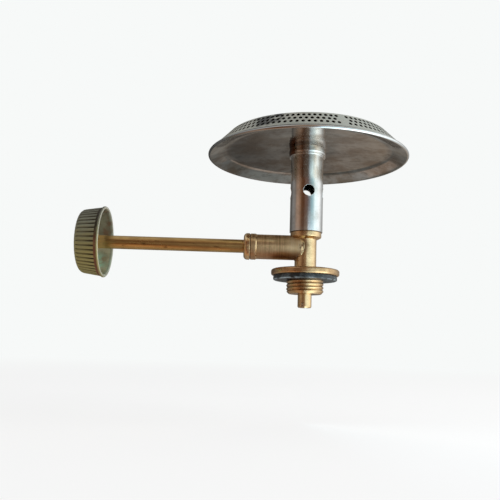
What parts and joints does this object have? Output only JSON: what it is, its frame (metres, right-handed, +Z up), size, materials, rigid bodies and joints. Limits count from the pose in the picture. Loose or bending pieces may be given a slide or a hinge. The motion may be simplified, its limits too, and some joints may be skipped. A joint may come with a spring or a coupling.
{
  "type": "cylinder-top gas burner",
  "caption": "Gas burner that screws onto a small cylinder: perforated round head on a mixing tube, brass needle valve and a long control rod with a hollow knob.",
  "frame": {"origin": "centre of the seal face, where the rubber washer meets the cylinder, on the axis of the cylinder thread", "axes": "+Z up the mixing tube, -X along the control rod towards the knob, -Y towards the viewer of the picture"},
  "size_m": [0.1419, 0.088, 0.0761],
  "materials": {
    "brass": "turned, worn and a little tarnished",
    "rod_brass": "drawn rod with brown tarnish",
    "knob_brass": "olive tarnish with green spots inside",
    "bronze": "sintered",
    "plated_tube": "bright plating with fine scratches",
    "cap_steel": "pressed, dull, with dark stains from use",
    "pan_steel": "pressed, shiny, with brown heat stain",
    "steel": "plated",
    "rubber": "matt, blue-black",
    "fibre": "pressed fibre"
  },
  "bodies": {
    "burner": {"base_flange": "brass", "seal_washer": "rubber", "inlet_pin": "brass", "riser_body": "brass", "valve_barrel": "brass", "gland_nut": "brass", "gland_seal": "fibre", "stop_washer": "steel", "jet": "brass", "jet_filter": "bronze", "mixing_tube": "plated_tube", "pan_ferrule": "plated_tube", "burner_pan": "pan_steel", "flame_cap": "cap_steel"},
    "seal_slider": {"sealing_ring": "rubber"},
    "spindle": {"valve_spindle": "rod_brass", "knob_cup": "knob_brass", "knob_hub": "knob_brass", "knob_washer": "steel", "knob_screw": "steel"}
  },
  "joints": [
    {"name": "spindle_travel", "type": "slide", "parent": "burner", "child": "seal_slider", "axis": [-1, 0, 0], "range_m": [0, 0.002]},
    {"name": "knob_turn", "type": "hinge", "parent": "seal_slider", "child": "spindle", "pos_m": [-0.05, 0, 0.01425], "axis": [-1, 0, 0], "range_deg": [0, 720]}
  ],
  "couplings": [
    {"joint": "knob_turn", "follows": "spindle_travel", "rad_per_m": 6283.2}
  ]
}
